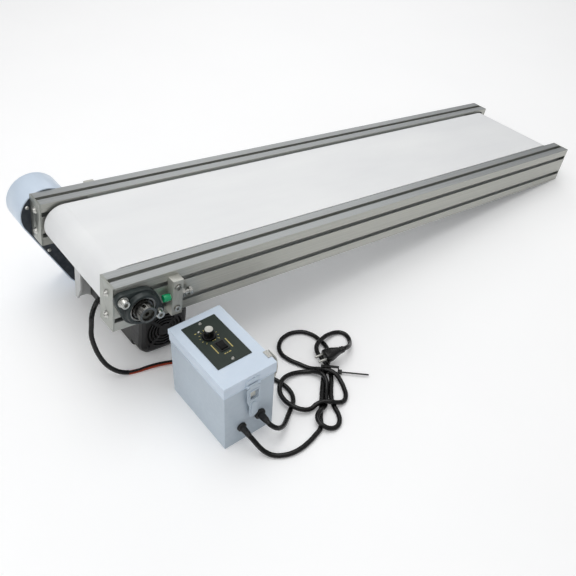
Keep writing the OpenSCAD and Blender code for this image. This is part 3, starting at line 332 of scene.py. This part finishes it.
MATERIALS = {
    "anodised_rail": extruded_aluminium(),
    "plain_aluminium": bare_metal("plain_aluminium", (0.68, 0.69, 0.665), 0.36, (1, 30, 1), 0.9, 0.3),
    "bright_steel": bare_metal("bright_steel", (0.80, 0.80, 0.78), 0.28),
    "bearing_steel": bare_metal("bearing_steel", (0.66, 0.65, 0.63), 0.3),
    "black_steel": bare_metal("black_steel", (0.20, 0.20, 0.20), 0.45, metallic=0.8),
    "galvanised_steel": bare_metal("galvanised_steel", (0.68, 0.70, 0.71), 0.45, metallic=0.9, marks=0.6),
    "white_belt": belt_cover(),
    "dark_green_iron": cast_iron("dark_green_iron", (0.125, 0.17, 0.17)),
    "zinc_block": bare_metal("zinc_block", (0.80, 0.80, 0.77), 0.4, (1, 1, 12), 0.5, 0.3),
    "green_plastic": plastic("green_plastic", (0.10, 0.70, 0.46), 0.2),
    "grey_bracket": painted("grey_bracket", (0.80, 0.805, 0.80)),
    "black_motor": painted("black_motor", (0.10, 0.093, 0.085), 0.36, 0.12, 0.3, (0.3, 0.3, 0.3)),
    "copper_winding": windings(),
    "black_plastic": plastic("black_plastic", (0.055, 0.055, 0.055), 0.38, 0.7, 0.05),
    "gloss_black": plastic("gloss_black", (0.03, 0.03, 0.032), 0.2),
    "navy_steel": painted("navy_steel", (0.115, 0.15, 0.195), 0.4, wear=0.15),
    # edge wear and painted highlight: on both blue-grey paints the edges turn near white, partly wear and partly a
    # painted highlight along the edges
    "blue_grey_paint": painted("blue_grey_paint", (0.815, 0.87, 0.93), 0.34, 0.05, 0.2, (0.9, 0.92, 0.94)),
    # painted shade: box_paint is a darker copy of the lid's blue-grey paint, standing in for the shade on the
    # box's sides
    "box_paint": painted("box_paint", (0.725, 0.777, 0.822), 0.34, 0.05, 0.2, (0.9, 0.92, 0.94)),
    "bronze": bare_metal("bronze", (0.68, 0.54, 0.32), 0.4),
    "panel_green": printed_panel(),
    "black_rubber": plastic("black_rubber", (0.075, 0.075, 0.075), 0.5, 1.5, 0.05),
    "cord_jacket": cord_jacket(),
}
GOLD_PRINT = plastic("gold_print", (0.78, 0.72, 0.42), 0.45)
RED_WIRE = cord_jacket("red_wire", (0.66, 0.25, 0.15), 0.35)
DARK_COLLAR = bare_metal("dark_collar", (0.43, 0.43, 0.42), 0.25)
OILED_SHAFT = bare_metal("oiled_shaft", (0.33, 0.325, 0.30), 0.32)
BRIGHT_ON_PAINT = fittings_finish()
SWITCH_BLACK = plastic("switch_black", (0.018, 0.018, 0.02), 0.5, shine=0.18)
LOOKS = {"bearing_inner_rings": DARK_COLLAR, "drive_shaft": OILED_SHAFT, "lid_fittings": BRIGHT_ON_PAINT,
         "rocker_switch": SWITCH_BLACK}


# ---------- mesh helpers ----------
def piece(name, mesh, body, slot, material=None):
    """Wraps a mesh made in the row frame as a piece that rides on a body."""
    thing = bpy.data.objects.new(name, mesh)
    bpy.context.scene.collection.objects.link(thing)
    if not mesh.materials:
        mesh.materials.append(material or MATERIALS[slot])
    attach(thing, body)
    return thing


def mesh_of(name, points, faces, smooth=True):
    mesh = bpy.data.meshes.new(name)
    mesh.from_pydata([tuple(p) for p in points], [], faces)
    mesh.polygons.foreach_set("use_smooth", [smooth]*len(faces))
    mesh.update()
    return mesh


def bevelled(thing, width_mm):
    """Rounds a piece's sharp edges so that they catch the light."""
    join = thing.modifiers.new("weld", "WELD")
    join.merge_threshold = 0.01*MM
    flat = thing.modifiers.new("flat", "DECIMATE")
    flat.decimate_type = "DISSOLVE"
    flat.angle_limit = math.radians(0.3)
    bevel = thing.modifiers.new("bevel", "BEVEL")
    bevel.width = width_mm*MM
    bevel.segments = 2
    bevel.limit_method = "ANGLE"
    bevel.angle_limit = math.radians(35)
    bevel.harden_normals = True
    bevel.use_clamp_overlap = True


def plate_mesh(name, outlines, thickness, place, edge):
    """Flat plates with rims rounded by edge: outlines are closed lists of x, y points in millimetres, and
    place takes the plates' own millimetres, z from 0 to thickness, to the row frame."""
    curve = bpy.data.curves.new(name, "CURVE")
    curve.dimensions = "2D"
    curve.fill_mode = "BOTH"
    curve.extrude = max(thickness/2 - edge, 0.0)
    curve.bevel_depth = edge
    curve.bevel_resolution = 1
    curve.offset = -edge
    for outline in outlines:
        spline = curve.splines.new("POLY")
        spline.points.add(len(outline) - 1)
        for point, (x, y) in zip(spline.points, outline):
            point.co = (x, y, 0, 1)
        spline.use_cyclic_u = True
    holder = bpy.data.objects.new(name, curve)
    mesh = bpy.data.meshes.new_from_object(holder)
    bpy.data.objects.remove(holder)
    bpy.data.curves.remove(curve)
    mesh.transform(place @ Matrix.Translation((0, 0, thickness/2)))
    mesh.update()
    return mesh


def arc(cx, cy, r, start, end, steps):
    """Points on a circle from one angle to another, in degrees."""
    turns = [math.radians(start + (end - start)*i/steps) for i in range(steps + 1)]
    return [(cx + r*math.cos(t), cy + r*math.sin(t)) for t in turns]


def rounded(x0, y0, x1, y1, r, steps=2):
    """A rectangle's outline with round corners."""
    return (arc(x1 - r, y1 - r, r, 0, 90, steps) + arc(x0 + r, y1 - r, r, 90, 180, steps)
            + arc(x0 + r, y0 + r, r, 180, 270, steps) + arc(x1 - r, y0 + r, r, 270, 360, steps))


def ring_faces(rings, steps):
    """The faces that join a row of equal rings of points, with a cap at each end."""
    faces = []
    for i in range(rings - 1):
        for k in range(steps):
            n = (k + 1) % steps
            faces.append((i*steps + k, i*steps + n, (i + 1)*steps + n, (i + 1)*steps + k))
    faces.append(tuple(reversed(range(steps))))
    faces.append(tuple((rings - 1)*steps + k for k in range(steps)))
    return faces


def lathe_parts(profile, place, steps):
    """Points and faces of a profile of (radius, height) pairs turned about z."""
    points = []
    for r, z in profile:
        for k in range(steps):
            a = math.tau*k/steps
            points.append(place @ Vector((r*math.cos(a), r*math.sin(a), z)))
    return points, ring_faces(len(profile), steps)


def smooth_line(points, steps):
    """A line through all the points, with steps pieces between each two (Catmull-Rom)."""
    p = [Vector(q) for q in points]
    p = [2*p[0] - p[1]] + p + [2*p[-1] - p[-2]]
    line = []
    for a, b, c, d in zip(p, p[1:], p[2:], p[3:]):
        for i in range(steps):
            t = i/steps
            line.append(0.5*(2*b + (c - a)*t + (2*a - 5*b + 4*c - d)*t*t + (3*b - a - 3*c + d)*t**3))
    return line + [p[-2]]


def carried_sides(line):
    """For each point of a line, two directions square to it that don't twist along it."""
    frames = []
    side = None
    for i in range(len(line)):
        ahead = (line[min(i + 1, len(line) - 1)] - line[max(i - 1, 0)]).normalized()
        side = ahead.cross(Vector((0.1, 0.2, 1))) if side is None else side - ahead*side.dot(ahead)
        side.normalize()
        frames.append((side.copy(), ahead.cross(side)))
    return frames


def tube_parts(line, radius, steps=16, offset=None):
    """Points and faces of a closed tube round a line; radius may be a number or one for each point, and
    offset(number, side, up) may shift each point of the line."""
    points = []
    radii = radius if isinstance(radius, list) else [radius]*len(line)
    for i, ((side, up), centre, r) in enumerate(zip(carried_sides(line), line, radii)):
        shift = offset(i, side, up) if offset else Vector((0, 0, 0))
        for k in range(steps):
            a = math.tau*k/steps
            points.append(centre + shift + (side*math.cos(a) + up*math.sin(a))*r)
    return points, ring_faces(len(line), steps)


def joined(name, parts, materials):
    """One mesh of several (points, faces, material number) parts."""
    points, faces, numbers = [], [], []
    for more, those, number in parts:
        start = len(points)
        points += more
        faces += [tuple(start + k for k in face) for face in those]
        numbers += [number]*len(those)
    mesh = mesh_of(name, points, faces)
    for material in materials:
        mesh.materials.append(material)
    mesh.polygons.foreach_set("material_index", numbers)
    return mesh


# ---------- cords ----------
CORD_D = 8
# The motor cable, from the box's gland to the motor, in the box's own millimetres
motor_route = [(66, -14.1, 41), (66, -19, 41), (67, -25, 39), (72, -30, 34), (80, -31, 27), (91, -27, 19),
               (104, -18, 11), (117, -8, 6), (130, 1, 4), (142, 10, 4), (150, 22, 4), (153, 37, 4),
               (151, 53, 4), (146, 69, 4), (138, 89, 4), (128, 110, 4), (117, 131, 4), (101, 152, 4),
               (81, 170, 4), (59, 185, 4), (37, 196, 4), (14, 206, 4), (-8, 213, 4), (-27, 217, 4),
               (-42, 221, 5), (-55, 225, 11), (-66, 227, 23), (-75, 229, 38), (-81, 233, 55),
               (-85, 237, 76), (-86, 241, 100), (-82, 244, 118), (-79, 245, 133), (-73, 249, 142),
               (-65, 255, 147), (-57, 261, 148),
               (-49, 268, 145), (-43, 273, 139), (-40, 277, 129), (-40, 278, 119), (-39, 280, 108),
               (-35, 281, 97), (-28, 282, 89), (-20, 282, 85), (-11, 282, 84), (-5, 282, 83)]
# The points of that route between which its jacket is cut back, and the radius of each wire
BARE_WIRES = (19, 24)
WIRE_R = 1.75
# The power lead from its gland over the floor to the hank
power_route = [(32, -14.1, 34), (32, -20, 33), (34, -26, 29), (37, -32, 22), (41, -38, 14), (46, -45, 8),
               (54, -54, 4.5), (66, -62, 4), (81, -67, 4), (97, -68, 4), (113, -66, 4), (129, -62, 4),
               (145, -56, 4)]
# The tied hank: the middles of its upper and lower end, and its height under the tie
HANK_A = Vector((246, 38))
HANK_B = Vector((160, -54))
HANK_H = 16
# The lead in the hank: distance along it from its low end, distance to the left of it, and height
hank_route = [(10, 10.5, 4), (40, 10.5, 4), (70, 10.5, 4), (95, 9.5, 4), (109, 8, 4), (125, 4, 4),
              (145, 2, 4), (165, 7, 4), (182, 20, 4), (196, 40, 4), (197, 62, 4), (184, 82, 4), (163, 91, 4),
              (142, 87, 4), (128, 72, 4), (119, 52, 4), (112, 33, 4), (108, 18, 8.5), (104, 2, 12),
              (98, -11, 10.5), (88, -20, 5.5), (74, -26, 4), (60, -29, 4), (47, -26, 4.5), (39, -16, 8.5),
              (36, -4, 12), (35, 8, 12), (31, 18, 9), (22, 27, 7), (17, 40, 9), (21, 58, 11.5),
              (34, 73, 10.5), (52, 81, 10.5), (71, 79, 11.5), (88, 69, 8), (98, 54, 5.5), (102, 38, 5.5),
              (101, 24, 9), (94, 12, 12), (84, 5, 9), (70, 3.5, 4.5), (55, 3.5, 4), (40, 3.5, 4),
              (30, 5.5, 6), (18, 11.5, 10.5), (5, 16, 12), (-5.6, 12.6, 11), (-12, 3.6, 8.5),
              (-12, -7.6, 5.5), (-5.6, -16.6, 4), (5, -20, 4), (18, -18, 4), (33, -11, 4), (48, -6, 4),
              (70, -4, 4), (88, -4, 4), (102, -2.5, 4.5), (115, 3.5, 10), (130, 14.5, 12), (145, 23.5, 12),
              (162, 24.5, 12), (181, 14, 12), (196, 2.5, 8), (204, -7, 5), (206.5, -16, 4), (203, -25, 4),
              (195, -31, 4), (184, -33.5, 5.5), (171, -33, 11), (158, -29.5, 18.5), (146, -22.3, 25)]


def in_box(points):
    return [BOX @ Vector(p) for p in points]


def hank_point(s, t, z):
    """A point of the hank in the box's millimetres."""
    u = (HANK_A - HANK_B).normalized()
    place = HANK_B + u*s + Vector((-u.y, u.x))*t
    return (place.x, place.y, z)


def make_motor_cable():
    """The motor cable, with its jacket cut back to three wires on the stretch behind the control box."""
    steps = 6
    line = smooth_line(in_box(motor_route), steps)
    first, last = BARE_WIRES[0]*steps, BARE_WIRES[1]*steps
    r = CORD_D/2*MM
    wire = WIRE_R*MM

    def beside(turn):
        """Where a wire lies from the cable's middle, winding slowly to and fro along it."""
        def shift(i, side, up):
            a = turn + 0.5*math.sin(i*0.16)
            return (side*math.cos(a) + up*math.sin(a))*(r - wire)
        return shift

    bare = line[first - 1:last + 2]
    parts = [(*tube_parts(line[:first + 1], r), 0), (*tube_parts(line[last:], r), 0)]
    for turn, number in ((0.4, 1), (2.5, 1), (4.6, 0)):
        parts.append((*tube_parts(bare, wire, 12, beside(turn)), number))
    mesh = joined("motor_cable_run", parts, [MATERIALS["cord_jacket"], RED_WIRE])
    cable = piece("motor_cable_run", mesh, "frame", "cord_jacket")
    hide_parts("motor_cable")


def make_power_cord():
    """The power lead from the box through the hank to the plug, as one curve."""
    route = in_box(power_route + [hank_point(*p) for p in hank_route])
    data = bpy.data.curves.new("power_cord", "CURVE")
    data.dimensions = "3D"
    data.bevel_depth = CORD_D/2*MM
    data.bevel_resolution = 5
    data.resolution_u = 8
    data.use_fill_caps = True
    spline = data.splines.new("BEZIER")
    spline.bezier_points.add(len(route) - 1)
    for point, place in zip(spline.bezier_points, route):
        point.co = place
        point.handle_left_type = point.handle_right_type = "AUTO"
    data.materials.append(MATERIALS["cord_jacket"])
    cord = bpy.data.objects.new("power_cord", data)
    bpy.context.scene.collection.objects.link(cord)
    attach(cord, "frame")
    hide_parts("power_cord_tube", "power_cord_hank")


PLUG_AT = (250, 41)
PLUG_TURN = -8


def make_plug():
    """A moulded plug: tapered body with grip ribs, a short relief on the lead, and its pins."""
    place = BOX @ Matrix.Translation((*PLUG_AT, HANK_H + 9))
    place = place @ Matrix.Rotation(math.radians(PLUG_TURN), 4, "Z") @ Matrix.Rotation(math.pi/2, 4, "Y")
    # Height along z, half height and half width: the pin face is at -14, and the lead leaves at 26
    rows = [(-14, 8.2, 10.6), (-13.4, 8.8, 11.4), (-11, 9, 12), (-4, 9, 12), (0, 8.6, 11.2), (5, 7.8, 9.6),
            (10, 6.9, 7.8), (15, 5.8, 6.4), (16, 5.6, 6.2), (16.6, 4.9, 5.4), (18, 4.9, 5.4), (18.6, 5.4, 6),
            (20, 5.3, 5.9), (20.6, 4.6, 5), (22, 4.6, 5), (22.6, 5.1, 5.5), (24, 5, 5.4),
            (24.6, 4.4, 4.6), (26, 4.2, 4.4)]
    steps = 40
    # Below 1, this power squares the oval outline
    power = 0.62
    points = []
    for z, half_h, half_w in rows:
        for k in range(steps):
            a = math.tau*k/steps
            c, s = math.cos(a), math.sin(a)
            x = half_h*math.copysign(abs(c)**power, c)
            y = half_w*math.copysign(abs(s)**power, s)
            points.append(place @ Vector((x, y, z)))
    parts = [(points, ring_faces(len(rows), steps), 0)]
    pin = [(1.2, -30), (2.0, -29.2), (2.2, -28), (2.2, -14), (2.2, -13)]
    for y in (-6, 6):
        parts.append((*lathe_parts(pin, place @ Matrix.Translation((0, y, 0)), 20), 1))
    mesh = joined("plug_body", parts, [MATERIALS["cord_jacket"], MATERIALS["bright_steel"]])
    plug = piece("plug_body", mesh, "frame", "cord_jacket")
    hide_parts("power_plug")
    return plug


def make_relief(name, route, body_r, tip_r, flange_r):
    """A gland nut with a tapered boot that bends with the first stretch of its cord."""
    bore, to_wall, past_start, groove = 5, 16, 6, 0.4
    line = smooth_line(in_box(route[:6]), 5)
    boot, along = [line[0]], 0
    for a, b in zip(line, line[1:]):
        along += (b - a).length
        if along > past_start*MM:
            break
        boot.append(b)
    wall = line[0] + Vector((0, to_wall*MM, 0))
    boot = [wall, wall + (line[0] - wall)*0.3, wall + (line[0] - wall)*0.65] + boot
    n = len(boot) - 1
    radii = [(body_r + (tip_r - body_r)*(i/n))*MM for i in range(n + 1)]
    for i in range(3, n, 2):
        radii[i] -= groove*MM
    turn = Matrix.Translation(wall) @ Matrix.Rotation(math.pi/2, 4, "X") @ Matrix.Scale(MM, 4)
    flange = [(bore, 0), (flange_r - 0.4, 0), (flange_r, 0.5), (flange_r, 3.6), (flange_r - 1, 4.6),
              (body_r, 5)]
    parts = [(*tube_parts(boot, radii, 24), 0), (*lathe_parts(flange, turn, 40), 0)]
    mesh = joined(name, parts, [MATERIALS["black_rubber"]])
    return piece(name, mesh, "frame", "black_rubber")


make_camera()
plug = make_plug()
power_relief = make_relief("power_relief", power_route, 5.4, 4.4, 7.8)
make_relief("motor_relief", motor_route, 6.2, 4.5, 9.4)
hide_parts("cord_glands")
make_power_cord()
make_motor_cable()

# ---------- materials and rounded edges on the CAD nodes ----------
# The rounding of each node's edges, in millimetres
EDGES = {
    "rail_near": 0.25, "rail_far": 0.25, "end_plates": 0.4, "tension_blocks": 0.8, "bearing_housings": 1.4,
    "bearing_bolts": 0.35, "tension_bolts": 0.3, "tension_caps": 1.2, "end_plate_screws": 0.3,
    "drive_shaft": 0.4, "bearing_inner_rings": 0.35, "motor_bracket": 0.5, "gearhead_case": 0.8,
    "gearhead_cover": 0.8, "motor_housing": 0.8, "fan_cover": 0.8, "guard_cover": 0.9,
    "guard_back_plate": 0.4, "guard_screws": 0.25, "box_body": 0.7, "box_lid": 0.7, "lid_fittings": 0.25,
    "face_plate": 0.25,
    "speed_knob": 0.4, "rocker_switch": 0.5, "side_latch": 0.2, "latch_bases": 0.3, "cable_tie": 0.3,
    "box_hinge": 0.2, "cross_members": 0.5, "slider_bed": 0.4, "belt": 0.3,
}


def dress_nodes():
    """Every CAD node gets the material of its slot, or its own, and rounded edges where they show."""
    for name, node in frame["nodes"].items():
        node.data.materials.clear()
        node.data.materials.append(LOOKS.get(name, MATERIALS[SLOT_OF[name]]))
        if name in EDGES:
            bevelled(node, EDGES[name])


dress_nodes()


# ---------- the control panel's print ----------
def make_panel_print():
    """Gold ticks round the knob, two bars beside the switch and short dashes; none of it is lettering."""
    marks = []
    inner, half_w = 13.2, 0.42
    for i in range(11):
        a = math.radians(225 - i*27)
        outer = inner + (3.4 if i % 5 == 0 else 2.2)
        c, s = math.cos(a), math.sin(a)
        corners = ((inner, -half_w), (outer, -half_w), (outer, half_w), (inner, half_w))
        marks.append([(KNOB_AT[0] + c*r - s*d, KNOB_AT[1] + s*r + c*d) for r, d in corners])
    x0, y0 = ROCKER_AT
    for dx in (-12.6, 12.6):
        marks.append(rounded(x0 + dx - 0.8, y0 - 10.5, x0 + dx + 0.8, y0 + 10.5, 0.4))
    for y, widths in ((-16.5, (3, 2, 4)), (15.8, (2.4, 2.4))):
        x = x0 - 6
        for w in widths:
            marks.append(rounded(x, y0 + y, x + w, y0 + y + 1.4, 0.3))
            x += w + 1.4
    marks.append(rounded(LAMP_AT[0] - 7.5, LAMP_AT[1] - 0.7, LAMP_AT[0] - 4.2, LAMP_AT[1] + 0.7, 0.3))
    mesh = plate_mesh("panel_print", marks, 0.12, BOX @ Matrix.Translation((0, 0, PANEL_TOP)), 0.02)
    piece("panel_print", mesh, "lid", "panel_green", GOLD_PRINT)


make_panel_print()


def make_lid_hem():
    """The rolled hem along the low edge of the lid's skirt: front and both sides, open at the hinge side."""
    low, high = BOX.inverted() @ lid_low, BOX.inverted() @ lid_high
    r, inset, corner, gap_at_hinge = 0.95, 0.25, 2.2, 3.5
    left, right, front = low.x + inset, high.x - inset, low.y + inset
    back = high.y - gap_at_hinge
    path = ([(left, back)] + arc(left + corner, front + corner, corner, 180, 270, 6)
            + arc(right - corner, front + corner, corner, 270, 360, 6) + [(right, back)])
    line = in_box([(x, y, low.z + r + 0.05) for x, y in path])
    piece("lid_hem", mesh_of("lid_hem", *tube_parts(line, r*MM, 12)), "lid", "blue_grey_paint")


make_lid_hem()


def make_knob_cap():
    """The bright cap let into the knob's top, with a raised line that shows where the knob points."""
    place = BOX @ Matrix.Translation((*KNOB_AT, KNOB_FOOT + 14.6))
    profile = [(6.4, -0.4), (6.5, 0.2), (6.3, 0.9), (5.6, 1.2), (5.2, 1.0), (4.9, 0.95)]
    cap = mesh_of("knob_cap", *lathe_parts(profile, place, 48))
    piece("knob_cap", cap, "knob", "zinc_block")
    line = plate_mesh("knob_pointer", [rounded(-0.5, 2, 0.5, 7.4, 0.3)], 0.3,
                      BOX @ Matrix.Translation((*KNOB_AT, KNOB_FOOT + 14)), 0.05)
    piece("knob_pointer", line, "knob", "zinc_block")


make_knob_cap()


# ---------- floor and light ----------
def make_stage():
    """A wide, pale and matt floor."""
    half = 12
    floor = mesh_of("floor", [(-half, -half, 0), (half, -half, 0), (half, half, 0), (-half, half, 0)],
                    [(0, 1, 2, 3)], False)
    thing = bpy.data.objects.new("floor", floor)
    n = Nodes("floor")
    n.base(n.mix(n.spread(n.noise(300), 0, 1), (0.985, 0.986, 0.988), (0.992, 0.993, 0.994)))
    n.rough(n.spread(n.noise(50), 0.75, 0.85))
    n.fixed(Emission_Color=(1, 1, 1, 1), Emission_Strength=0.09)
    floor.materials.append(n.material)
    bpy.context.scene.collection.objects.link(thing)


def area_light(name, place, target, size, power):
    data = bpy.data.lights.new(name, "AREA")
    data.shape = "RECTANGLE"
    data.size, data.size_y = size
    data.energy = power
    light = bpy.data.objects.new(name, data)
    bpy.context.scene.collection.objects.link(light)
    light.matrix_world = look_matrix(Vector(place), Vector(target), 0)


def make_light():
    """A pale studio: a soft sky that dims towards the horizon, a wide lamp overhead and two weaker ones."""
    world = bpy.data.worlds.new("studio")
    world.use_nodes = True
    tree = world.node_tree
    back = tree.nodes["Background"]
    back.inputs["Strength"].default_value = 0.55
    place = tree.nodes.new("ShaderNodeTexCoord")
    split = tree.nodes.new("ShaderNodeSeparateXYZ")
    ramp = tree.nodes.new("ShaderNodeValToRGB")
    ramp.color_ramp.elements[0].position = 0.0
    ramp.color_ramp.elements[0].color = (0.30, 0.31, 0.33, 1)
    ramp.color_ramp.elements[1].position = 0.7
    ramp.color_ramp.elements[1].color = (1, 1, 1, 1)
    tree.links.new(place.outputs["Generated"], split.inputs["Vector"])
    tree.links.new(split.outputs["Z"], ramp.inputs["Fac"])
    tree.links.new(ramp.outputs["Color"], back.inputs["Color"])
    bpy.context.scene.world = world
    bpy.context.scene.view_settings.view_transform = "Standard"
    area_light("key", (-0.3, 0.2, 2.6), (0, 0, 0.1), (2.6, 2.0), 30)
    area_light("fill", (-2.4, -0.2, 1.2), (-0.2, 0, 0.1), (1.4, 1.2), 8)
    area_light("rim", (1.6, 1.9, 1.6), (0, 0, 0.1), (2.0, 0.8), 8)


make_stage()
make_light()
